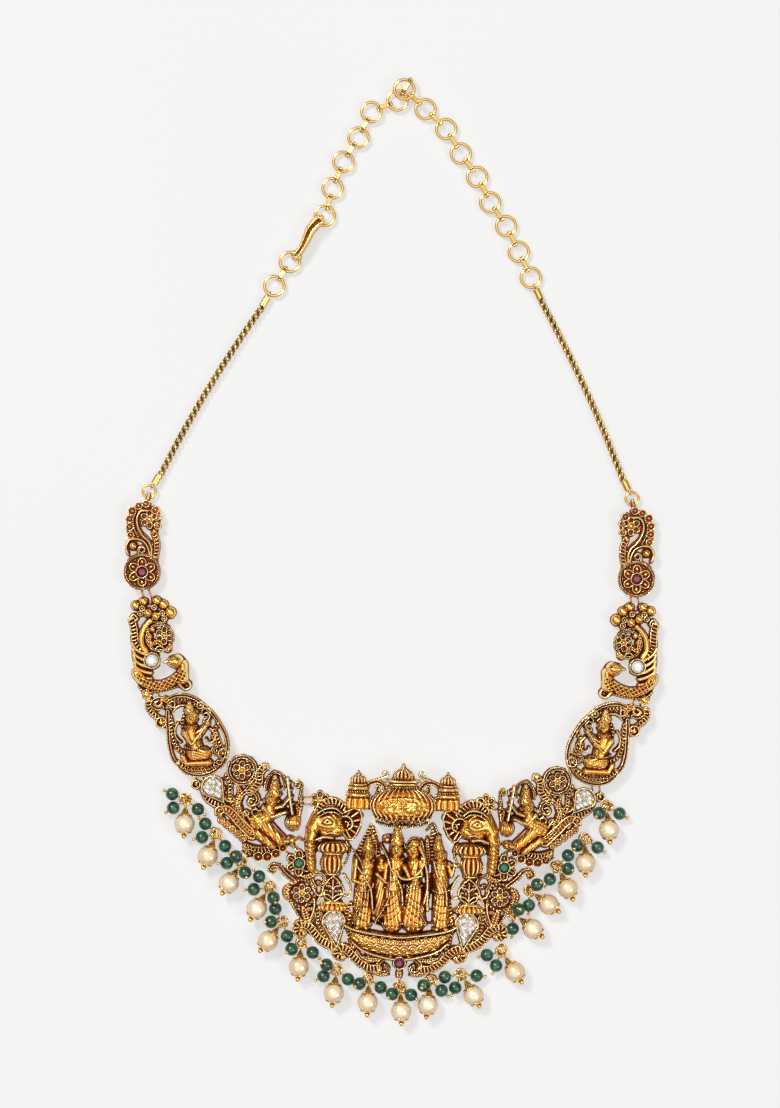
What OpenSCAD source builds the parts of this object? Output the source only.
// Temple jewellery necklace, lying flat with its loop laid open.
// +Y runs from the centre plaque to the clasp, +Z up from the surface, which is at z = 0.

/* [Loop] */
// Rise of the loop, from the middle of the centre plaque to the ring at the nape
loop_rise = 191; // [186:0.5:198]
// Length of a plaque link between the two staples that it joins
link_l = 3.2; // [3.1:0.1:3.6]
// Wire of the plaque links
link_wire = 0.5; // [0.4:0.05:0.6]

/* [Plaques] */
// Width of the centre plaque across its outer curls
centre_w = 66; // [62:0.5:72]
// Width of a musician plaque
musician_w = 30; // [28:0.5:32]
// Width of a figure medallion
medallion_w = 20; // [18:0.5:22]
// Width of a peacock plaque
peacock_w = 16; // [15:0.5:18]
// Width of a flower plaque
flower_w = 9.25; // [8.5:0.25:10.5]
// Thickness of the cast plate behind the relief
plate_t = 2; // [1.8:0.1:2.4]
// Height of the boldest relief above the surface
relief_h = 6.4; // [5.6:0.2:7.2]

/* [Stones] */
// Length of a white pear field on the centre plaque
centre_pear_l = 8.6; // [8:0.2:9.4]
// Width of that field
centre_pear_w = 5; // [4.6:0.1:5.4]
// Length of a white pear field on a musician plaque
musician_pear_l = 7; // [6.4:0.2:7.8]
// Width of that field
musician_pear_w = 5; // [4.6:0.1:5.4]
// Diameter of a small white stone in a pear field
spark_d = 1.5; // [1.2:0.1:1.6]
// Diameter of the round white stone on a peacock plaque
round_stone_d = 3.2; // [2.6:0.1:3.4]
// Diameter of the red stones
red_stone_d = 2.3; // [1.8:0.1:2.5]
// Diameter of the green stones
green_stone_d = 2.3; // [1.8:0.1:2.5]

/* [Drops] */
// Diameter of a pearl
pearl_d = 5.1; // [4.4:0.1:5.4]
// Hole through a pearl
pearl_hole = 0.8; // [0.7:0.05:1]
// Pin through a pearl
pearl_pin = 0.6; // [0.4:0.05:0.65]
// Length of the cap between a pearl and the loop of its pin
cap_l = 1.3; // [1:0.1:1.6]
// Diameter of the cap over a pearl
cap_d = 2.3; // [1.8:0.1:2.6]
// Ball at the end of a pearl's pin
pearl_ball = 1.1; // [0.9:0.1:1.3]
// Diameter of a green bead
bead_d = 3.25; // [2.8:0.05:3.5]
// Hole through a green bead
bead_hole = 0.6; // [0.55:0.05:0.8]
// Pin through a green bead
bead_pin = 0.36; // [0.3:0.02:0.4]
// Ball at the end of a bead's pin
bead_ball = 0.9; // [0.8:0.05:1.1]
// Radius of a drop ring, to the middle of its wire
drop_ring_r = 1.3; // [1.25:0.05:1.6]
// Wire of a drop ring
drop_wire = 0.5; // [0.4:0.05:0.55]
// Wire of the small loops that hang on a drop ring
loop_wire = 0.36; // [0.3:0.02:0.4]

/* [Chains] */
// Outer diameter of a chain ring
ring_d = 5.7; // [5.2:0.1:6.2]
// Wire of a chain ring
ring_wire = 0.8; // [0.7:0.05:0.9]
// Free space between two neighbouring chain rings
ring_space = 1.45; // [1.2:0.05:1.8]
// Width of a strip connector
strip_w = 1.3; // [1:0.1:1.6]
// Thickness of a strip connector and of the hook
strip_t = 0.45; // [0.35:0.05:0.5]
// Diameter of the fine chains
fine_d = 1.6; // [1.4:0.1:1.8]
// Length of the barrel caps on the fine chains
barrel_l = 2.6; // [2:0.2:3.2]
// Outer diameter of the ring between a fine chain and its plaque
end_ring_d = 3.9; // [3.6:0.1:4.4]
// Wire of that ring
end_ring_wire = 0.65; // [0.5:0.05:0.7]
// Length of the hook clasp between the two rings that it joins
hook_l = 9.6; // [9:0.2:10.4]
// Width of the hook clasp at its bend
hook_w = 2.6; // [2:0.2:3]

/* [Hidden] */

$fn = 32;
gap = 0.1;
gold = [0.83, 0.62, 0.24];
bright_gold = [0.93, 0.76, 0.38];
white_stone = [0.9, 0.92, 0.95];
red_stone = [0.5, 0.05, 0.12];
green_stone = [0.05, 0.35, 0.2];
pearl_tone = [0.96, 0.92, 0.84];

// Relief tables give places in parts of their plaque's width, from a reference point,
// and tops in shares of relief_h. These are the parts across each plaque.
centre_parts = 264;
musician_parts = 120;
medallion_parts = 80;
peacock_parts = 64;
flower_parts = 37;
centre_unit = centre_w / centre_parts;
musician_unit = musician_w / musician_parts;
medallion_unit = medallion_w / medallion_parts;
peacock_unit = peacock_w / peacock_parts;
flower_unit = flower_w / flower_parts;

// Heights of the flat rings: chain rings, plaque links, drop rings
ring_z = ring_wire / 2 + gap + strip_t + 0.1;
link_z = link_wire / 2 + 0.5;
drop_z = bead_d / 2;

loop_play = 0.13;
// Small loops: inner radius, radius to the middle of the wire, outer radius
loop_in = drop_wire / 2 + loop_play;
loop_r = loop_in + loop_wire / 2;
loop_out = loop_in + loop_wire;

// Points and directions in the plane
function turn(a, p) = [cos(a) * p[0] - sin(a) * p[1], sin(a) * p[0] + cos(a) * p[1]];
function along(a, d) = [d * cos(a), d * sin(a)];
function heading(d) = atan2(d[1], d[0]);

// A frame is [x, y, turn, flip, unit]: where a plaque's reference point lies
function at(f, p) = [f[0], f[1]] + turn(f[2], [f[3] * p[0], p[1]] * f[4]);
function aim(f, a) = f[2] + (f[3] > 0 ? a : 180 - a);
function hung(f, from, to, a, share, angle, flip, unit) =
    let (p = at(f, from) + along(a, share * link_l) - turn(angle, [flip * to[0], to[1]] * unit))
    [p[0], p[1], angle, flip, unit];

module place(f)
    translate([f[0], f[1], 0]) rotate(f[2]) mirror([f[3] < 0 ? 1 : 0, 0, 0]) children();

// Staples under the plates, in parts, where the plaque links pass through
centre_low_staple = [104, 7];
centre_high_staple = [89, 61];
musician_low_staple = [33, -37];
musician_high_staple = [52, 8];
musician_end_staple = [-50, 24];
medallion_low_staple = [1, -34];
medallion_top_staple = [-40, 34];
peacock_low_staple = [-6, -42];
peacock_top_staple = [-10, 46];
flower_low_staple = [-1, -42];
flower_eyelet = [2.6, 48];
flower_eyelet_turn = 78;

// The centre plaque's reference point, set so that the origin lies under the middle
centre_x = 2.4;
centre_y = -78.25;
centre_turn = -1.25;
centre_frame = [centre_x, centre_y, centre_turn, 1, centre_unit];

// One row for each side: flip, direction of each link outwards, turn of each plaque,
// length of each link in shares of link_l, where the first link starts on the centre plaque,
// and the share of musician_w that the musician plaque has
SIDES = [
    [1, [149, 94, 112, 108], [0, 0, 0, 0], [1.32, 1, 1, 1.35], 104, 1],
    [-1, [31, 92, 88, 100], [-3, 0, 3, -2], [1.19, 1.3, 1.1, 1.25], 100, 0.95]];
function side(s) = SIDES[s < 0 ? 0 : 1];
function centre_low(s) = [s * side(s)[4], centre_low_staple[1]];
function centre_high(s) = [s * centre_high_staple[0], centre_high_staple[1]];
function linked(s, f, from, to, i, unit) =
    hung(f, from, to, side(s)[1][i], side(s)[3][i], side(s)[2][i], side(s)[0], unit);
function musician_frame(s) =
    linked(s, centre_frame, centre_low(s), musician_low_staple, 0, side(s)[5] * musician_unit);
function medallion_frame(s) =
    linked(s, musician_frame(s), musician_end_staple, medallion_low_staple, 1, medallion_unit);
function peacock_frame(s) =
    linked(s, medallion_frame(s), medallion_top_staple, peacock_low_staple, 2, peacock_unit);
function flower_frame(s) =
    linked(s, peacock_frame(s), peacock_top_staple, flower_low_staple, 3, flower_unit);

// The way a link leaves a plaque, in the plaque's own frame: a is its heading in the plane
function leaving(f, a) = f[3] > 0 ? a - f[2] : 180 - a + f[2];
function high_link(s) = at(musician_frame(s), musician_high_staple) - at(centre_frame, centre_high(s));

// Basic forms
module torus(r, wire, n = 32)
    rotate_extrude($fn = n) translate([r, 0]) circle(d = wire, $fn = max(16, n / 2));
module upright(p, a) translate(p) rotate(a) rotate([90, 0, 0]) children();
module stadium(half, r) {
    translate([-half, 0]) circle(r = r);
    translate([half, 0]) circle(r = r);
    square([2 * half, 2 * r], center = true);
}

// Relief starts inside the plate, at base_z, and rises to its own top
base_z = 0.5 * plate_t;

// A path's points with one more between each two, on a smooth curve through them all
function between(a, b, c, d) = (9 * (b + c) - a - d) / 16;
function smooth(p) = [for (i = [0:len(p) - 1]) each i == len(p) - 1 ? [p[i]] :
    [p[i], between(p[max(i - 1, 0)], p[i], p[i + 1], p[min(i + 2, len(p) - 1)])]];
function across(p, i) =
    let (d = p[min(i + 1, len(p) - 1)] - p[max(i - 1, 0)]) [-d[1], d[0]] / norm(d);

// A raised band along a path
module band(path, w0, w1, top) {
    p = smooth(path);
    last = len(p) - 1;
    left = [for (i = [0:last]) p[i] + across(p, i) * (w0 + (w1 - w0) * i / last) / 2];
    right = [for (i = [last:-1:0]) p[i] - across(p, i) * (w0 + (w1 - w0) * i / last) / 2];
    translate([0, 0, base_z]) linear_extrude(top - base_z) polygon(concat(left, right));
}
// A domed knob
module knob(p, r, top) {
    crown = min(0.7 * r, top - base_z);
    translate([p[0], p[1], 0]) rotate_extrude() polygon([[0, base_z], [r, base_z],
        [r, top - crown], [0.84 * r, top - 0.45 * crown], [0.5 * r, top - 0.1 * crown], [0, top]]);
}
module rim(p, r, w, top) translate([p[0], p[1], base_z]) difference() {
    cylinder(r = r, h = top - base_z);
    translate([0, 0, -1]) cylinder(r = r - w, h = top + 1);
}
// A flat flower: petal tips at r, clefts at 0.6 of it
module bloom(p, r, count, top) translate([p[0], p[1], base_z]) linear_extrude(top - base_z)
    polygon([for (i = [0:3 * count - 1]) along((i - 0.5) * 120 / count + 90, i % 3 == 2 ? 0.6 * r : r)]);
// A rounded mass between two ends: for heads, bodies and limbs.
// Its outline goes round both ends, and closes in over a few levels: share of width, share of height
LIMB_LEVELS = [[1, 0], [1, 0.45], [0.82, 0.78], [0.4, 1]];
LIMB_ARC = 5;
module limb(a, ra, b, rb, top) {
    d = b - a;
    facing = heading(d);
    lean = norm(d) > 0 ? asin(max(-0.9, min(0.9, (ra - rb) / norm(d)))) : 0;
    outline = concat(
        [for (i = [0:LIMB_ARC - 1]) let (t = facing + 90 - lean + i * (180 + 2 * lean) / (LIMB_ARC - 1))
            [a, ra, t]],
        [for (i = [0:LIMB_ARC - 1]) let (t = facing - 90 + lean + i * (180 - 2 * lean) / (LIMB_ARC - 1))
            [b, rb, t]]);
    m = len(outline);
    n = len(LIMB_LEVELS);
    points = [for (level = LIMB_LEVELS, q = outline)
        let (p = q[0] + along(q[2], q[1] * level[0])) [p[0], p[1], base_z + level[1] * (top - base_z)]];
    sides = [for (i = [0:n - 2], j = [0:m - 1])
        let (e = i * m + j, f = i * m + (j + 1) % m) each [[e, f + m, f], [e, e + m, f + m]]];
    under = [[for (j = [0:m - 1]) j]];
    over = [[for (j = [m - 1:-1:0]) (n - 1) * m + j]];
    polyhedron(points = points, faces = concat(sides, under, over));
}

// Columns of the band tables: width at the start, width at the end, top, path
// Columns of the knob tables: place, radius, top
// Columns of the limb tables: place and radius of one end, place and radius of the other, top
// Columns of the rim tables: place, radius, width, top
module bands(table, k, flip = 1)
    for (t = table) band([for (p = t[3]) [flip * p[0], p[1]] * k], t[0] * k, t[1] * k, t[2] * relief_h);
module knobs(table, k, flip = 1)
    for (t = table) knob([flip * t[0][0], t[0][1]] * k, t[1] * k, t[2] * relief_h);
module limbs(table, k, flip = 1)
    for (t = table) limb([flip * t[0][0], t[0][1]] * k, t[1] * k,
        [flip * t[2][0], t[2][1]] * k, t[3] * k, t[4] * relief_h);
module rims(table, k, flip = 1)
    for (t = table) rim([flip * t[0][0], t[0][1]] * k, t[1] * k, t[2] * k, t[3] * relief_h);
module plate(outline, windows, k) linear_extrude(plate_t) difference() {
    polygon(outline * k);
    for (w = windows) polygon(w * k);
}

// The space under a plate for the end of a link, and the staple that holds the link
staple_t = 0.45;
staple_in = link_wire + 0.3;
link_top = link_z + link_wire / 2 + 2 * gap;
link_r = 0.9;
room_half = link_r + link_wire / 2 + 2 * gap;
room_back = 1;
room_out = 3.6;
module link_room(p, a) translate([p[0], p[1], -1]) rotate(a) translate([-room_back, -room_half])
    cube([room_back + room_out, 2 * room_half, 1 + link_top]);
module staple(p, a)
    upright([p[0], p[1], link_z], a) linear_extrude(staple_t, center = true) difference() {
        translate([-staple_in / 2 - staple_t, -staple_in / 2 - 0.35])
            square([staple_in + 2 * staple_t, link_top - link_z + staple_in / 2 + 0.55]);
        square(staple_in, center = true);
    }
// The small upright eyelet that carries a ring, with its peg into the plaque
module eyelet(p, a, z, wire, peg) upright([p[0], p[1], z], a) linear_extrude(loop_wire, center = true) {
    hole = wire / 2 + loop_play;
    difference() {
        circle(r = hole + loop_wire);
        circle(r = hole);
    }
    translate([-hole - 0.1 - peg, -0.4]) square([peg, 0.8]);
}
// A round collar, and the seat for a stone inside it
collar_t = 0.35;
seat_z = plate_t + 0.2;
module collar(p, d, top) translate([p[0], p[1], base_z])
    cylinder(d = d + 2 * gap + 2 * collar_t, h = top - base_z);
module seat(p, d) translate([p[0], p[1], seat_z]) cylinder(d = d + 2 * gap, h = relief_h);
// A pear outline: a round head and a straight-sided tip towards -Y
module pear(l, w, grow) {
    r = w / 2 + grow;
    tip = l - w / 2 + grow * 1.6;
    a = asin(r / tip);
    circle(r = r);
    polygon([[r * cos(a), -r * sin(a)], [0, -tip], [-r * cos(a), -r * sin(a)]]);
}
module pear_collar(l, w, top) translate([0, 0, base_z])
    linear_extrude(top - base_z) pear(l, w, gap + collar_t);
module pear_seat(l, w) translate([0, 0, seat_z]) linear_extrude(relief_h) pear(l, w, gap);

// Flower plaque
FLOWER_OUTLINE = [
    [2, 45], [8, 42], [13, 36], [16.5, 29], [14, 20], [13, 13], [14, 5], [15, -4], [12.5, -12],
    [15, -26], [12, -35], [5, -42], [-3, -45], [-12, -41], [-18, -34], [-20.5, -26], [-18, -15],
    [-19.5, -8], [-19.5, 0], [-16, 6], [-18.5, 14], [-19, 21], [-17, 30], [-13, 37], [-6, 42]];
FLOWER_BANDS = [
    [3, 2.5, 0.5, [[3, 35], [-4, 35], [-8, 28], [-7, 19], [-2, 10], [4, 4], [6.5, -3], [6, -10]]],
    [6, 5, 0.48, [[9, 12], [12, 5], [13, -3], [11, -12]]],
    [3, 2.5, 0.46, [[-16, -6], [-19, 0], [-15, 6], [-8, 7], [-1, 4], [3, -2], [5, -9]]]];
FLOWER_KNOBS = [
    [[-12, 0], 4.3, 0.52], [[4.5, 26.5], 3.4, 0.56],
    [[-13, 35], 4.5, 0.42], [[-15, 26], 5, 0.42], [[-15, 16], 5, 0.42],
    [[10, 36], 4.5, 0.42], [[12, 18], 4, 0.44], [[0, 41], 4, 0.42]];
flower_disc = [-3, -26];
flower_bloom = [4.5, 26.5];
module flower_plaque(s) {
    k = flower_unit;
    stone_at = flower_disc * k;
    color(gold) place(flower_frame(s)) {
        difference() {
            union() {
                plate(FLOWER_OUTLINE, [], k);
                bands(FLOWER_BANDS, k);
                knobs(FLOWER_KNOBS, k);
                bloom(flower_bloom * k, 10 * k, 6, 0.46 * relief_h);
                rim(stone_at, 18.5 * k, 2.4 * k, 0.46 * relief_h);
                bloom(stone_at, 15 * k, 6, 0.42 * relief_h);
                collar(stone_at, red_stone_d, 0.54 * relief_h);
                eyelet(flower_eyelet * k, flower_eyelet_turn, ring_z, end_ring_wire, 1.2);
            }
            seat(stone_at, red_stone_d);
            link_room(flower_low_staple * k, leaving(flower_frame(s), side(s)[1][3] + 180));
        }
        staple(flower_low_staple * k, leaving(flower_frame(s), side(s)[1][3] + 180));
    }
}

// Peacock plaque
PEACOCK_OUTLINE = [
    [-23, 51], [-17, 54], [-10, 52], [-3, 55], [4, 52], [10, 45], [15, 39], [14, 31], [10, 25],
    [14, 18], [15, 10], [12, 2], [14, -4], [20, -3], [26, -7], [28, -15], [30, -24], [33, -31],
    [32, -38], [25, -41], [18, -37], [10, -39], [0, -41], [-7, -44], [-12, -49], [-18, -44],
    [-22, -36], [-25, -27], [-27, -18], [-30, -8], [-28, 2], [-30, 12], [-28, 21], [-31, 30],
    [-28, 39]];
PEACOCK_WINDOW = [[2, 1], [6, -1], [9, -6], [8, -11], [10, -17], [5, -20], [1, -18], [1, -9]];
PEACOCK_BANDS = [
    [5, 6, 0.52, [[-28, 31], [-26, 24], [-25, 16], [-24, 8], [-20, 1]]],
    [4, 5, 0.5, [[-9, 30], [-15, 23], [-18, 14], [-17, 5], [-13, -1]]],
    [7, 7, 0.48, [[-19, 6], [-25, -1], [-27, -9], [-23, -16], [-17, -20]]],
    [6, 5, 0.6, [[20, -5], [27, -13], [27, -22], [22, -29]]],
    [12, 10, 0.72, [[-20, -25], [-13, -32], [-1, -36], [11, -33], [22, -25]]],
    [5, 3, 0.52, [[20, -34], [27, -38], [31, -34], [27, -31]]]];
PEACOCK_KNOBS = [
    [[-26, 33], 4.5, 0.56], [[-24, 45], 5, 0.5], [[-16, 49], 5, 0.5], [[-3, 50], 5, 0.5], [[4, 46], 5, 0.5],
    [[10, 38], 6, 0.52], [[-11.5, 37], 4.5, 0.66], [[-4, 34], 4.5, 0.66], [[-15, 43], 3.5, 0.58],
    [[3, 42], 3.5, 0.58], [[5.5, 16], 3, 0.62], [[-13, -44], 5, 0.56]];
PEACOCK_LIMBS = [
    [[17, -11], 7.5, [12, -10], 5, 0.95], [[-4, 4], 5, [4, 3], 4, 0.56]];
peacock_disc = [0.5, 13];
peacock_bloom = [5, 15];
peacock_stone = [-7.5, -10];
module peacock_plaque(s) {
    k = peacock_unit;
    stone_at = peacock_stone * k;
    color(gold) place(peacock_frame(s)) {
        difference() {
            union() {
                plate(PEACOCK_OUTLINE, [PEACOCK_WINDOW], k);
                bands(PEACOCK_BANDS, k);
                knobs(PEACOCK_KNOBS, k);
                limbs(PEACOCK_LIMBS, k);
                rim(peacock_disc * k, 14 * k, 2.4 * k, 0.54 * relief_h);
                bloom(peacock_bloom * k, 9 * k, 6, 0.5 * relief_h);
                collar(stone_at, round_stone_d, 0.6 * relief_h);
            }
            seat(stone_at, round_stone_d);
            link_room(peacock_low_staple * k, leaving(peacock_frame(s), side(s)[1][2] + 180));
            link_room(peacock_top_staple * k, leaving(peacock_frame(s), side(s)[1][3]));
        }
        staple(peacock_low_staple * k, leaving(peacock_frame(s), side(s)[1][2] + 180));
        staple(peacock_top_staple * k, leaving(peacock_frame(s), side(s)[1][3]));
    }
}

// Figure medallion
MEDALLION_OUTLINE = [
    [-21, 45], [-11, 44], [-1, 40], [9, 33], [17, 24], [24, 13], [29, 3], [31, -8], [29, -19],
    [24, -28], [16, -34], [8, -37.5], [-2, -38.5], [-12, -36], [-19, -30], [-26, -21],
    [-29, -11], [-30.5, -2], [-31, 8], [-34, 10], [-42, 11], [-43, 18], [-49, 22], [-53, 30],
    [-53, 36], [-47, 39], [-41, 41], [-34, 40], [-29, 42]];
MEDALLION_WINDOWS = [
    [[-24, 28], [-18, 30], [-14.5, 25], [-15, 18], [-20, 16.5], [-24.5, 19]],
    [[-24, 15], [-18, 13], [-17, 6], [-20, 2], [-24, 7]],
    [[21, 11], [25, 3], [26.5, -6], [24, -8], [22.5, 0], [20.5, 7]],
    [[6, 0], [12, -3], [16, -7], [11, -9], [7, -6]],
    [[-25, -10], [-20, -15], [-14, -21], [-17, -25], [-22, -19]]];
MEDALLION_BANDS = [
    [3, 3, 0.5, [[-29, 40], [-21, 42.5], [-11, 42], [-1, 38], [8, 31], [16, 23], [22, 13], [27, 3],
        [29, -8], [28, -18], [24, -26], [17, -32], [8, -35.5], [-2, -36.5], [-11, -34],
        [-18, -28], [-24.5, -20], [-27.5, -11], [-29, -2], [-29.5, 8], [-30, 18], [-30, 27]]],
    [5, 4, 0.48, [[-35, 35], [-40, 31], [-45, 35], [-42, 39], [-36, 39.5], [-31, 36]]],
    [4, 4, 0.5, [[-50, 37], [-50, 32], [-46, 26], [-40, 22], [-34, 18]]],
    [4, 4, 0.46, [[-27, 38], [-18, 38], [-10, 38], [-3, 33]]],
    [3, 3, 0.46, [[-25, 26], [-20, 32], [-12, 34], [-5, 31], [0, 25]]],
    [5, 4, 0.48, [[20, 14], [16, 8], [20, 0], [22, -8]]],
    [5, 4, 0.48, [[-27, 6], [-25, -2], [-21, -10]]],
    [3, 3, 0.42, [[-17, -27], [-8, -30], [2, -30.5], [12, -29], [20, -26]]]];
MEDALLION_KNOBS = [
    [[-37, 15], 6, 0.5], [[-37, 38], 3, 0.54], [[-32, 33], 5, 0.42], [[2, 32], 4, 0.48],
    [[8, 26], 5, 0.48], [[25, -16], 5, 0.5], [[9, 17], 4.5, 0.7], [[6, 6], 5, 0.48],
    [[15, 2], 4, 0.44]];
MEDALLION_LIMBS = [
    [[-6, 21], 6.5, [-9, 30], 3.5, 0.95], [[-7, 8], 8, [-3, -8], 8, 0.85],
    [[-12, 5], 4, [-5, -5], 3.5, 0.95], [[-5, -5], 3.5, [8, 15], 3, 0.92],
    [[-4, -16], 8, [6, -16], 7, 0.8], [[-10, -25], 4, [10, -24], 4, 0.66]];
module figure_medallion(s) {
    k = medallion_unit;
    color(gold) place(medallion_frame(s)) {
        difference() {
            union() {
                plate(MEDALLION_OUTLINE, MEDALLION_WINDOWS, k);
                bands(MEDALLION_BANDS, k);
                knobs(MEDALLION_KNOBS, k);
                limbs(MEDALLION_LIMBS, k);
            }
            link_room(medallion_low_staple * k, leaving(medallion_frame(s), side(s)[1][1] + 180));
            link_room(medallion_top_staple * k, leaving(medallion_frame(s), side(s)[1][2]));
        }
        staple(medallion_low_staple * k, leaving(medallion_frame(s), side(s)[1][1] + 180));
        staple(medallion_top_staple * k, leaving(medallion_frame(s), side(s)[1][2]));
    }
}

// Musician plaque
MUSICIAN_OUTLINE = [
    [-23, 46], [-16, 53], [-7, 55], [2, 52], [8, 45], [12, 43], [18, 46], [22, 40], [28, 38],
    [34, 34], [39, 34], [43, 27], [48, 30], [53, 23], [53, 15], [53, 11], [53, 2], [51, -7],
    [51, -14], [48, -22], [45, -28], [44, -33], [36, -37.5], [30, -41.5], [25, -47], [16, -50],
    [6, -49], [-3, -47], [-10, -42], [-8, -35], [-12, -31], [-20, -27], [-27, -19], [-34, -13],
    [-37, -7], [-34, 0], [-42, 1], [-47, 9], [-53, 18], [-59, 25], [-57, 28], [-47, 28],
    [-38, 34], [-30, 31], [-24, 35]];
MUSICIAN_WINDOWS = [
    [[44, 24], [46, 22], [48, 14], [45, 10], [43, 17]],
    [[9, 33], [12, 34], [11, 27], [7, 24]],
    [[-24, 0], [-20, -2], [-16, -8], [-15, -2], [-18, 4]]];
MUSICIAN_BANDS = [
    [4, 4, 0.52, [[5, 5], [8, 9], [6, 15], [0, 19], [-7, 17], [-11, 10], [-13, 2], [-13, -5],
        [-10, -13], [-4, -20], [2, -24]]],
    [4, 4, 0.5, [[7, 38], [4, 28], [-3, 21], [-7, 16]]],
    [4, 4, 0.46, [[-21, 32], [-19, 21], [-19, 10]]],
    [5, 7, 0.54, [[-52, 27], [-49, 25], [-46, 20], [-42, 14],
        [-36, 9], [-29, 6]]],
    [5, 6, 0.52, [[12, 42], [9, 36], [9, 28], [5, 22], [1, 18]]],
    [6, 9, 0.56, [[-30, -1], [-24, 0], [-18, -4], [-12, -11], [-5, -18],
        [3, -25]]],
    [3, 3, 0.48, [[46, 23], [49, 27], [52, 23], [51, 15], [49, 7]]],
    [3.5, 3.5, 0.5, [[50.5, 13], [51, 4], [49.5, -4], [49, -11]]],
    [3, 3, 0.5, [[16, 20], [20, 30], [27, 36], [33, 30], [34, 21]]],
    [3, 2.4, 1, [[37, 31], [40, 12], [43, -5]]],
    [12, 9, 0.62, [[-5, -38], [8, -42], [19, -41], [29, -38], [36, -33]]]];
MUSICIAN_KNOBS = [
    [[-54, 25], 4.5, 0.58], [[14, 40], 4.5, 0.56], [[-29.5, -5], 4.5, 0.6],
    [[5, -3], 4, 0.48], [[-4, -4], 3.5, 0.44], [[-24, -19], 3, 0.48], [[-16, -25], 3, 0.48],
    [[27, 29], 5.5, 0.86], [[43, -12], 8, 0.92], [[-8, 39], 3.2, 0.6], [[41, -30], 4.5, 0.62],
    [[-3, -40], 5, 0.68], [[12, -45.5], 4, 0.56], [[23, -44], 4, 0.56]];
MUSICIAN_LIMBS = [
    [[21, 9], 6.5, [25, 20], 5, 0.98], [[20, -2], 8, [12, -12], 9, 0.86],
    [[22, -6], 4, [36, -3], 3, 0.98], [[36, -3], 3, [40, 10], 3, 1],
    [[9, -14], 9, [31, -31], 6, 0.9], [[6, -24], 6, [24, -36], 5, 0.82]];
musician_loop = [-8, 39];
musician_stone = [-37, 22];
musician_stone_turn = 36;
// Columns of the drop tables: eyelet, its direction, length of its peg, turn of the pearl
// from straight out, then for each bead its turn from straight out and its rise
MUSICIAN_DROPS_LEFT = [
    [[-60, 12], 215, 8.5, 52, [[-58, 0], [-3, 0], [107, 0]]],
    [[-30, -21], 225, 8.5, 24, [[-86, 0], [-31, 0], [79, 0]]],
    [[-6, -49], 240, 8.5, -2, [[-113, 70], [-58, 15], [53, 60]]]];
MUSICIAN_DROPS_RIGHT = [
    [[-10, -46], 237, 8.5, 5, [[61, 0], [-50, 60], [-106, 0]]],
    [[-36.5, -16.5], 222, 8.5, 45, [[100, 60], [-10, 0]]],
    [[-56.5, 18.5], 212, 8.5, 50, [[105, 60], [-5, 0]]]];
function musician_drops(s) = s < 0 ? MUSICIAN_DROPS_LEFT : MUSICIAN_DROPS_RIGHT;
module musician_plaque(s) {
    k = musician_frame(s)[4];
    color(gold) place(musician_frame(s)) {
        difference() {
            union() {
                plate(MUSICIAN_OUTLINE, MUSICIAN_WINDOWS, k);
                bands(MUSICIAN_BANDS, k);
                knobs(MUSICIAN_KNOBS, k);
                limbs(MUSICIAN_LIMBS, k);
                rim(musician_loop * k, 15 * k, 3.5 * k, 0.54 * relief_h);
                bloom(musician_loop * k, 10 * k, 6, 0.5 * relief_h);
                for (d = musician_drops(s)) eyelet(d[0] * k, d[1], drop_z, drop_wire, d[2] * k);
                translate(musician_stone * k) rotate(musician_stone_turn)
                    pear_collar(musician_pear_l, musician_pear_w, 0.62 * relief_h);
            }
            translate(musician_stone * k) rotate(musician_stone_turn)
                pear_seat(musician_pear_l, musician_pear_w);
            link_room(musician_low_staple * k, leaving(musician_frame(s), side(s)[1][0] + 180));
            link_room(musician_high_staple * k, leaving(musician_frame(s), heading(-high_link(s))));
            link_room(musician_end_staple * k, leaving(musician_frame(s), side(s)[1][1]));
        }
        staple(musician_low_staple * k, leaving(musician_frame(s), side(s)[1][0] + 180));
        staple(musician_high_staple * k, leaving(musician_frame(s), heading(-high_link(s))));
        staple(musician_end_staple * k, leaving(musician_frame(s), side(s)[1][1]));
    }
}

// Centre plaque: each table is drawn on both sides, apart from the middle ones
CENTRE_PLATES = [
    [[57, 57], [70, 58], [78, 53], [85, 54], [88, 44], [91, 40], [96, 22], [96, 9], [101, 10],
        [110, 6], [113, -2], [112, -11], [121, -2], [129, -3], [133, -8], [129, -13], [124, -10],
        [116, -16], [112, -30], [109, -37], [104, -46], [98, -60], [104, -66], [102, -73],
        [94, -70], [86, -77], [78, -83], [68, -85], [65, -90], [63, -96], [55, -96], [48, -95],
        [40, -102], [30, -107], [23, -108], [15, -110], [8, -113], [0, -114.5], [-4, -113],
        [0, -86], [40, -86], [56, -74], [57, -62], [56, -50], [50, -48], [57, -36], [56, -24],
        [60, -12], [57, -10], [57, 8], [50, 12], [50, 20], [54, 24], [45, 25], [36, 34], [37, 48],
        [44, 54]],
    [[12, -60], [52, -60], [50, -30], [52, 8], [46, 14], [36, 38], [30, 42], [24, 30], [14, 24],
        [10, 12], [6, 0], [12, -20]]];
CENTRE_PLATE_MIDDLE = [
    [-58, -62], [-44, -63], [-36, 0], [-45, 4], [-44, 12], [-32, 30], [-29, 42], [-22, 28],
    [-14, 30], [-8, 30], [-4, 38], [2, 28], [3, 16], [10, 24], [18, 18], [20, -2], [26, -20],
    [28, -62], [58, -62], [46, -86], [-46, -86]];
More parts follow.
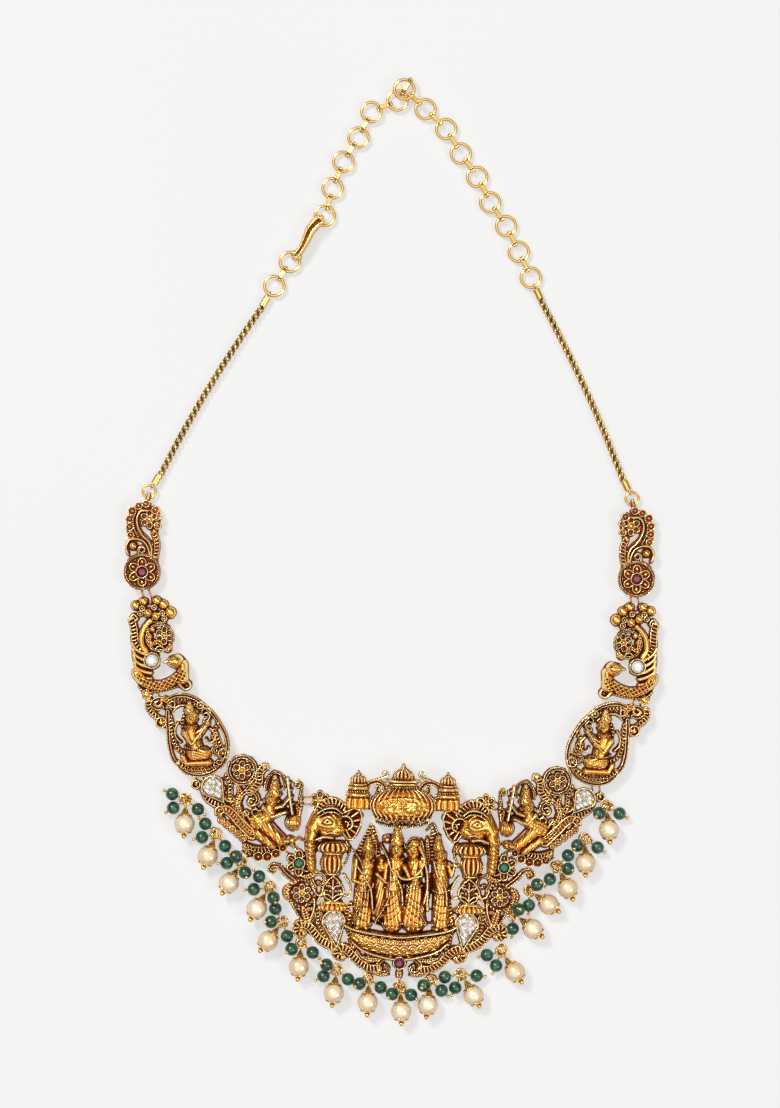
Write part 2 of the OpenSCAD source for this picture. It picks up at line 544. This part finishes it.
CENTRE_BANDS = [
    [4, 3.5, 0.52, [[38, 72], [34, 80], [27, 84], [20, 82], [18, 76], [22, 72], [26, 76]]],
    [8, 8, 0.66, [[84, 54], [76, 61], [66, 61], [58, 54]]],
    [4, 5, 0.52, [[128, -11], [132, -8], [128, -4], [122, -6], [116, -12], [110, -17]]],
    [3, 3, 0.48, [[86, -22], [89, -16], [85, -11], [79, -12], [76, -18], [80, -26], [78, -32]]],
    [4, 3, 0.48, [[92, -60], [86, -50], [86, -40], [88, -30]]],
    [3, 3, 0.48, [[92, -60], [103, -46], [109, -36]]],
    [6, 8, 0.56, [[98, -71], [103, -69], [102, -63], [97, -61], [90, -64], [85, -71], [79, -77],
        [71, -82], [65, -84]]],
    [6, 5, 0.58, [[59, -94], [63, -92], [62, -86], [57, -84], [51, -87], [45, -94], [38, -100],
        [30, -104], [22, -105]]],
    [4, 4, 0.5, [[41, -90], [37, -97], [30, -98], [26, -93]]],
    [4, 3, 0.52, [[10, -100], [16, -99], [20, -105], [15, -111], [10, -107]]],
    [4, 3, 0.5, [[84, -47], [83, -60], [78, -72], [70, -82]]]];
CENTRE_KNOBS = [
    [[44.5, 84], 8, 0.8], [[17, 88], 4, 0.5], [[35, -94], 3, 0.5], [[122, -9], 2.5, 0.5],
    [[77, -23], 4, 0.5], [[99, -32], 4, 0.62]];
CENTRE_LIMBS = [
    [[73, 39], 14, [84, 40], 10, 1], [[46, 45], 10, [51, 33], 9, 0.74],
    [[85, 39], 8, [91, 25], 6, 0.94], [[91, 25], 6, [91, 10], 5.5, 0.88],
    [[91, 10], 5.5, [89, -6], 5, 0.78]];
// Upright turned pieces: middle, then half widths and heights of a stack of slabs
CENTRE_STACKS = [
    [44.5, [[8, 82, 89, 0.82], [10.5, 74, 80, 0.9], [12, 67, 73, 0.84], [13, 56, 66, 0.78]]],
    [67.5, [[17.5, 9, 19, 0.9], [10.5, -11, 9, 0.8], [12, -14, -10, 0.72], [11, -30, -15, 0.66],
        [8, -38, -30, 0.6], [15, -47, -38, 0.66]]]];
CENTRE_MIDDLE_STACK = [
    [8, 86, 96, 0.86], [17, 81, 86, 0.8], [15, 76, 81, 0.86], [26, 68, 76, 0.9],
    [33, 49, 68, 1], [24, 41, 49, 0.86]];
CENTRE_BOAT = [
    [-53.5, -62], [-44, -65], [-20, -69], [0, -71], [20, -69], [44, -65], [53.5, -62], [51, -74],
    [40, -85], [20, -91], [0, -94], [-20, -91], [-40, -85], [-51, -74]];
FIGURE_LIMBS = [
    [[-33, 9], 5.5, [-33, 16], 4, 1], [[-36, 0], 9, [-38, -30], 10, 0.88],
    [[-38, -30], 10, [-38, -58], 10, 0.8], [[-20, -3], 5, [-20, -12], 5, 0.8],
    [[-6, 15], 6.5, [-5, 26], 6, 1], [[-6, 2], 10, [-8, -28], 10, 0.9],
    [[-8, -28], 10, [-8, -58], 11, 0.82], [[11, 14], 7, [12, 18], 6, 1],
    [[13, 2], 8, [14, -14], 6, 0.92], [[14, -16], 8, [13, -56], 13, 0.84],
    [[39, 10], 6.5, [33, 26], 5, 0.96], [[39, 0], 9, [41, -30], 9, 0.86],
    [[41, -30], 9, [41, -58], 9, 0.8]];
FIGURE_BANDS = [
    [2, 2, 1, [[-50, 15], [-40, 2], [-36, -20], [-36, -36], [-44, -48], [-41, -55]]],
    [2, 2, 1, [[-20, 19], [-11, -4], [-11, -36], [-24, -58]]],
    [3, 3, 1, [[18, 14], [22, 2], [12, -12], [-2, -12]]]];
centre_green = [102.5, -1];
centre_red = [0, -98.5];
centre_top_bloom = [83, 62];
centre_low_bloom = [99, -31];
centre_pear = [66.5, -59];
centre_pear_turn = -8;
CENTRE_DROPS = [
    [[-131, -22], 256, 8.5, -15, [[-125, 0], [-70, 0], [45, 60]]],
    [[-115, -56], 241, 17, -8, [[-120, 0], [-64, 50], [47, 0]]],
    [[-98, -76], 263, 8.5, 3, [[-52, 55], [58, 0]]],
    [[-62, -101.5], 266, 8.5, -2, [[-112, 50], [-57, 0], [53, 0]]],
    [[-30, -110], 266, 8.5, 3, [[-60, 60], [58, 0]]],
    [[1.5, -118], 271, 8.5, 2, [[-55, 60], [57, 40]]],
    [[31, -111], 273, 8.5, -8, [[-63, 75], [47, 0], [102, 0]]],
    [[61.5, -104], 281, 8.5, 20, [[-36, 20], [75, 0]]],
    [[100.5, -80.5], 286, 8.5, 19, [[-91, 0], [-36, 0]]],
    [[111, -43], 301, 8.5, 22, [[-35, 0], [112, 80]]],
    [[126, -19], 296, 8.5, 30, [[-26, 0], [106, 60]]]];
// Slabs reach a little way into the next one up
slab_lap = 0.1;
module stack(x, rows, k) for (r = rows)
    translate([(x - r[0]) * k, r[1] * k, base_z])
        cube([2 * r[0] * k, (r[2] - r[1]) * k + slab_lap, r[3] * relief_h - base_z]);
module centre_side(flip) {
    k = centre_unit;
    linear_extrude(plate_t) polygon([for (p = CENTRE_PLATES[0]) [flip * p[0], p[1]] * k]);
    bands(CENTRE_BANDS, k, flip);
    knobs(CENTRE_KNOBS, k, flip);
    limbs(CENTRE_LIMBS, k, flip);
    for (t = CENTRE_STACKS) stack(flip * t[0], t[1], k);
    bloom([flip * centre_top_bloom[0], centre_top_bloom[1]] * k, 10 * k, 6, 0.56 * relief_h);
    bloom([flip * centre_green[0], centre_green[1]] * k, 13 * k, 6, 0.5 * relief_h);
    bloom([flip * centre_low_bloom[0], centre_low_bloom[1]] * k, 10 * k, 6, 0.52 * relief_h);
    rim([flip * centre_low_bloom[0], centre_low_bloom[1]] * k, 14.5 * k, 3 * k, 0.54 * relief_h);
    collar([flip * centre_green[0], centre_green[1]] * k, green_stone_d, 0.6 * relief_h);
    translate([flip * centre_pear[0], centre_pear[1]] * k) rotate(flip * centre_pear_turn)
        pear_collar(centre_pear_l, centre_pear_w, 0.66 * relief_h);
}
module centre_plaque() {
    k = centre_unit;
    color(gold) place(centre_frame) {
        difference() {
            union() {
                centre_side(1);
                centre_side(-1);
                linear_extrude(plate_t) polygon(CENTRE_PLATE_MIDDLE * k);
                linear_extrude(plate_t) polygon(CENTRE_PLATES[1] * k);
                translate([0, 0, base_z]) linear_extrude(0.86 * relief_h - base_z) polygon(CENTRE_BOAT * k);
                stack(0, CENTRE_MIDDLE_STACK, k);
                limbs(FIGURE_LIMBS, k);
                bands(FIGURE_BANDS, k);
                collar(centre_red * k, red_stone_d, 0.6 * relief_h);
                for (d = CENTRE_DROPS) eyelet(d[0] * k, d[1], drop_z, drop_wire, d[2] * k);
            }
            for (s = [-1, 1]) {
                seat([s * centre_green[0], centre_green[1]] * k, green_stone_d);
                translate([s * centre_pear[0], centre_pear[1]] * k) rotate(s * centre_pear_turn)
                    pear_seat(centre_pear_l, centre_pear_w);
                link_room(centre_low(s) * k, side(s)[1][0] - centre_turn);
                link_room(centre_high(s) * k, heading(high_link(s)) - centre_turn);
            }
            seat(centre_red * k, red_stone_d);
        }
        for (s = [-1, 1]) {
            staple(centre_low(s) * k, side(s)[1][0] - centre_turn);
            staple(centre_high(s) * k, heading(high_link(s)) - centre_turn);
        }
    }
}

// Plaque links: flat rings with straight sides
module link(p, q) {
    half = norm(q - p) / 2 - link_r;
    translate([(p[0] + q[0]) / 2, (p[1] + q[1]) / 2, link_z]) rotate(heading(q - p))
        linear_extrude(link_wire, center = true) difference() {
            stadium(half, link_r + link_wire / 2);
            stadium(half, link_r - link_wire / 2);
        }
}
module plaque_links(s) color(gold) {
    link(at(centre_frame, centre_low(s)), at(musician_frame(s), musician_low_staple));
    link(at(centre_frame, centre_high(s)), at(musician_frame(s), musician_high_staple));
    link(at(musician_frame(s), musician_end_staple), at(medallion_frame(s), medallion_low_staple));
    link(at(medallion_frame(s), medallion_top_staple), at(peacock_frame(s), peacock_low_staple));
    link(at(peacock_frame(s), peacock_top_staple), at(flower_frame(s), flower_low_staple));
}

// Cut stones: a table and eight crown facets over a shallow base
module gem(d, top) translate([0, 0, seat_z + gap]) {
    h = top - seat_z - gap;
    cylinder(r1 = 0.3 * d, r2 = 0.5 * d, h = 0.45 * h, $fn = 8);
    translate([0, 0, 0.45 * h]) cylinder(r1 = 0.5 * d, r2 = 0.29 * d, h = 0.55 * h, $fn = 8);
}
module stone(f, p, d, top, tone)
    color(tone) place(f) translate([p[0], p[1], 0] * f[4]) rotate(22.5) gem(d, top * relief_h);
// Columns: place across and along in shares of the pear's width, size in shares of spark_d
SPARKS = [
    [-0.18, 0.2, 1], [0.18, 0.2, 1], [-0.18, -0.16, 1], [0.18, -0.16, 1], [0, -0.5, 1],
    [0, -0.84, 0.8]];
module pear_stones(f, p, a, w, count, top)
    color(white_stone) place(f) translate([p[0], p[1], 0] * f[4]) rotate(a)
        for (i = [0:count - 1]) translate([SPARKS[i][0], SPARKS[i][1]] * w)
            rotate(22.5) gem(spark_d * SPARKS[i][2], top * relief_h);

module white_pear_centre(s) pear_stones(centre_frame, [s * centre_pear[0], centre_pear[1]],
    s * centre_pear_turn, centre_pear_w, len(SPARKS), 0.64);
module white_pear_musician(s) pear_stones(musician_frame(s), musician_stone,
    musician_stone_turn, musician_pear_w, len(SPARKS) - 1, 0.6);
module white_stone_round(s) stone(peacock_frame(s), peacock_stone, round_stone_d, 0.66, white_stone);
module red_stone_disc(s) stone(flower_frame(s), flower_disc, red_stone_d, 0.6, red_stone);
module red_stone_centre() stone(centre_frame, centre_red, red_stone_d, 0.66, red_stone);
module green_stone_flower(s) stone(centre_frame, [s * centre_green[0], centre_green[1]],
    green_stone_d, 0.66, green_stone);

// The ring between a fine chain and its plaque
end_ring_r = (end_ring_d - end_ring_wire) / 2;
function end_ring_at(s) = at(flower_frame(s), flower_eyelet)
    + along(aim(flower_frame(s), flower_eyelet_turn), end_ring_r);
module end_ring(s) color(gold)
    translate([end_ring_at(s)[0], end_ring_at(s)[1], ring_z]) torus(end_ring_r, end_ring_wire);

// Chain rings, from the nape down: headings from ring to ring
LEFT_HEADINGS = [204, 243, 238, 248, 254];
HOOK_HEADING = 233;
LEFT_LAST_HEADING = 237;
RIGHT_HEADINGS = [-42, -44, -59, -55, -63, -56, -64, -65];
ring_r = (ring_d - ring_wire) / 2;
pitch = ring_d + ring_space;
nape_ring = [centre_x - 1, centre_y + loop_rise];
over_ring = nape_ring + [1.7, 2.6];
over_rise = ring_wire + 0.4;
function walk(p, steps, i = 0) = i == len(steps) ? [p] :
    concat([p], walk(p + along(steps[i][0], steps[i][1]), steps, i + 1));
left_rings = walk(nape_ring, concat([for (a = LEFT_HEADINGS) [a, pitch]],
    [[HOOK_HEADING, 2 * ring_r + hook_l], [LEFT_LAST_HEADING, pitch]]));
right_rings = walk(over_ring, [for (a = RIGHT_HEADINGS) [a, pitch]]);
hook_ring = len(LEFT_HEADINGS);
function toward(p, q, d) = p + d * (q - p) / norm(q - p);
module chain_ring(p, z) translate([p[0], p[1], z]) torus(ring_r, ring_wire);
module chain_rings(s) color(bright_gold) {
    if (s < 0) for (p = left_rings) chain_ring(p, ring_z);
    else for (i = [0:len(right_rings) - 1])
        chain_ring(right_rings[i], ring_z + (i == 0 ? over_rise : 0));
}

// Strip connectors: an upright flat loop that closes round the wires of two rings
strip_in = ring_wire / 2 + 2 * gap;
module connector(a, za, b, zb) {
    p = toward(a, b, ring_r);
    q = toward(b, a, ring_r);
    plan = norm(q - p);
    translate([(p[0] + q[0]) / 2, (p[1] + q[1]) / 2, (za + zb) / 2])
        rotate([0, -atan2(zb - za, plan), heading(q - p)]) rotate([90, 0, 0])
            linear_extrude(strip_w, center = true) difference() {
                stadium(norm([plan, zb - za]) / 2, strip_in + strip_t);
                stadium(norm([plan, zb - za]) / 2, strip_in);
            }
}
module chain_connectors(s) color(bright_gold) {
    if (s < 0) {
        for (i = [0:len(left_rings) - 2]) if (i != hook_ring)
            connector(left_rings[i], ring_z, left_rings[i + 1], ring_z);
        past = toward(over_ring, nape_ring, -2 * ring_r);
        connector(nape_ring, ring_z, past, ring_z + over_rise);
    }
    else for (i = [0:len(right_rings) - 2])
        connector(right_rings[i], ring_z + (i == 0 ? over_rise : 0), right_rings[i + 1], ring_z);
}

// Hook clasp: a closed eye round the lower ring, a strap, and a bend through the upper ring
eye_play = 0.25;
bend_play = 0.5;
tongue_l = 2.8;
eye_w = 0.7 * hook_w;
module hook_profile() {
    translate([-eye_play / 2, 0]) difference() {
        stadium(eye_play / 2, strip_in + strip_t);
        stadium(eye_play / 2, strip_in);
    }
    translate([0, strip_in]) square([hook_l + bend_play, strip_t]);
    translate([hook_l + bend_play - tongue_l, -strip_in - strip_t]) square([tongue_l, strip_t]);
    translate([hook_l + bend_play, 0]) intersection() {
        difference() {
            circle(r = strip_in + strip_t);
            circle(r = strip_in);
        }
        translate([0, -2]) square(4);
    }
}
module hook_clasp() {
    low = left_rings[hook_ring + 1];
    high = left_rings[hook_ring];
    foot = toward(low, high, ring_r);
    color(bright_gold) translate([foot[0], foot[1], ring_z]) rotate(heading(high - low)) intersection() {
        rotate([90, 0, 0]) linear_extrude(2 * hook_w, center = true) hook_profile();
        translate([0, 0, -3]) linear_extrude(6) polygon([[-3, -eye_w / 2], [1.5, -eye_w / 2],
            [4, -0.34 * hook_w], [6, -hook_w / 2], [hook_l + 3, -hook_w / 2], [hook_l + 3, hook_w / 2],
            [6, hook_w / 2], [4, 0.34 * hook_w], [1.5, eye_w / 2], [-3, eye_w / 2]]);
    }
}

// Fine chains and their barrel caps: a chain spans from cap to cap with an even bow outwards
chain_bow = 0.9;
chain_steps = 15;
barrel_d = fine_d + 0.3;
function cap_start(wire) = wire / 2 + loop_play + loop_wire - 0.15;
function chain_top(s) = s < 0 ? left_rings[len(left_rings) - 1] : right_rings[len(right_rings) - 1];
function cap_top(s) = toward(chain_top(s), end_ring_at(s), ring_r);
function cap_low(s) = toward(end_ring_at(s), chain_top(s), end_ring_r);
module chain_cap(p, a, wire) translate([p[0], p[1], ring_z]) rotate(a) {
    rotate([90, 0, 0]) torus(wire / 2 + loop_play + loop_wire / 2, loop_wire, 24);
    translate([cap_start(wire), 0, 0]) rotate([0, 90, 0]) cylinder(d = barrel_d, h = barrel_l);
}
module chain_caps(s) color(gold) {
    down = heading(cap_low(s) - cap_top(s));
    chain_cap(cap_top(s), down, ring_wire);
    chain_cap(cap_low(s), down + 180, end_ring_wire);
}
module tube(route, d, z) {
    m = len(route);
    points = [for (i = [0:m - 1], j = [0:7]) let (w = across(route, i) * cos(45 * j) * d / 2)
        [route[i][0] + w[0], route[i][1] + w[1], z + sin(45 * j) * d / 2]];
    sides = [for (i = [0:m - 2], j = [0:7])
        let (e = 8 * i + j, f = 8 * i + (j + 1) % 8) each [[e, f + 8, f], [e, e + 8, f + 8]]];
    start = [for (j = [0:7]) j];
    end = [for (j = [7:-1:0]) 8 * (m - 1) + j];
    polyhedron(points = points, faces = concat([start], sides, [end]));
}
module fine_chain(s) {
    p = toward(cap_top(s), cap_low(s), cap_start(ring_wire) + barrel_l + gap);
    q = toward(cap_low(s), cap_top(s), cap_start(end_ring_wire) + barrel_l + gap);
    side = along(heading(q - p) - s * 90, chain_bow / 2);
    color(gold) tube([for (i = [0:chain_steps])
        p + (q - p) * i / chain_steps - side * (1 - cos(360 * i / chain_steps))], fine_d, ring_z);
}

// Drops, from the left to the right: each is the frame of its plaque and its row
DROPS = concat(
    [for (row = MUSICIAN_DROPS_LEFT) [musician_frame(-1), row]],
    [for (row = CENTRE_DROPS) [centre_frame, row]],
    [for (row = MUSICIAN_DROPS_RIGHT) [musician_frame(1), row]]);
left_drops = 9;
function drop_range(s) = s < 0 ? [0:left_drops - 1] : [left_drops:len(DROPS) - 1];
function hub(d) = at(d[0], d[1][0]) + along(aim(d[0], d[1][1]), drop_ring_r);
module on_ring(d, out, lean = 0)
    translate([hub(d)[0], hub(d)[1], drop_z]) rotate(aim(d[0], d[1][1] + out))
        translate([drop_ring_r, 0, 0]) rotate([0, -lean, 0]) children();
module drop_rings(s) color(gold) for (i = drop_range(s))
    translate([hub(DROPS[i])[0], hub(DROPS[i])[1], drop_z]) torus(drop_ring_r, drop_wire);
module pin(wire, reach, ball) {
    rotate([90, 0, 0]) torus(loop_r, loop_wire, 24);
    translate([loop_r, 0, 0]) rotate([0, 90, 0]) cylinder(d = wire, h = reach - loop_r);
    translate([reach, 0, 0]) sphere(d = ball);
}
pearl_reach = loop_out + cap_l + gap + pearl_d / 2;
pearl_lean = asin((pearl_d / 2 - drop_z) / pearl_reach);
module pearl(i) color(pearl_tone) on_ring(DROPS[i], DROPS[i][1][3], pearl_lean)
    translate([pearl_reach, 0, 0]) rotate([0, 90, 0]) difference() {
        sphere(d = pearl_d);
        cylinder(d = pearl_hole, h = pearl_d + 1, center = true);
    }
module pearl_pins(s) color(gold) for (i = drop_range(s))
    on_ring(DROPS[i], DROPS[i][1][3], pearl_lean) {
        pin(pearl_pin, pearl_reach + pearl_d / 2 + gap + pearl_ball / 2, pearl_ball);
        difference() {
            translate([loop_out - 0.15, 0, 0]) rotate([0, 90, 0])
                cylinder(d1 = 0.3 * cap_d, d2 = cap_d, h = cap_l + 0.5);
            translate([pearl_reach, 0, 0]) sphere(r = pearl_d / 2 + gap);
        }
    }
bead_reach = loop_out + gap + bead_d / 2;
module green_beads(s) color(green_stone) for (i = drop_range(s), b = DROPS[i][1][4])
    on_ring(DROPS[i], b[0], b[1]) translate([bead_reach, 0, 0]) rotate([0, 90, 0]) difference() {
        sphere(d = bead_d);
        cylinder(d = bead_hole, h = bead_d + 1, center = true);
    }
module bead_pins(s) color(gold) for (i = drop_range(s), b = DROPS[i][1][4])
    on_ring(DROPS[i], b[0], b[1]) pin(bead_pin, bead_reach + bead_d / 2 + gap + bead_ball / 2, bead_ball);

// Where each node is drawn
centre_plaque();
flower_plaque(-1);  // flower_plaque_left
flower_plaque(1);  // flower_plaque_right
peacock_plaque(-1);  // peacock_plaque_left
peacock_plaque(1);  // peacock_plaque_right
figure_medallion(-1);  // figure_medallion_left
figure_medallion(1);  // figure_medallion_right
musician_plaque(-1);  // musician_plaque_left
musician_plaque(1);  // musician_plaque_right
plaque_links(-1);  // plaque_links_left
plaque_links(1);  // plaque_links_right
white_pear_centre(-1);  // white_pear_centre_left
white_pear_centre(1);  // white_pear_centre_right
white_pear_musician(-1);  // white_pear_musician_left
white_pear_musician(1);  // white_pear_musician_right
white_stone_round(-1);  // white_stone_left
white_stone_round(1);  // white_stone_right
red_stone_disc(-1);  // red_stone_left
red_stone_disc(1);  // red_stone_right
red_stone_centre();
green_stone_flower(-1);  // green_stone_left
green_stone_flower(1);  // green_stone_right
end_ring(-1);  // end_ring_left
end_ring(1);  // end_ring_right
fine_chain(-1);  // fine_chain_left
fine_chain(1);  // fine_chain_right
chain_caps(-1);  // chain_caps_left
chain_caps(1);  // chain_caps_right
chain_rings(-1);  // chain_rings_left
chain_rings(1);  // chain_rings_right
chain_connectors(-1);  // chain_connectors_left
chain_connectors(1);  // chain_connectors_right
hook_clasp();
pearl_pins(-1);  // pearl_pins_left
pearl_pins(1);  // pearl_pins_right
drop_rings(-1);  // drop_rings_left
drop_rings(1);  // drop_rings_right
green_beads(-1);  // green_beads_left
green_beads(1);  // green_beads_right
bead_pins(-1);  // bead_pins_left
bead_pins(1);  // bead_pins_right
pearl(0);  // pearl_01
pearl(1);  // pearl_02
pearl(2);  // pearl_03
pearl(3);  // pearl_04
pearl(4);  // pearl_05
pearl(5);  // pearl_06
pearl(6);  // pearl_07
pearl(7);  // pearl_08
pearl(8);  // pearl_09
pearl(9);  // pearl_10
pearl(10);  // pearl_11
pearl(11);  // pearl_12
pearl(12);  // pearl_13
pearl(13);  // pearl_14
pearl(14);  // pearl_15
pearl(15);  // pearl_16
pearl(16);  // pearl_17
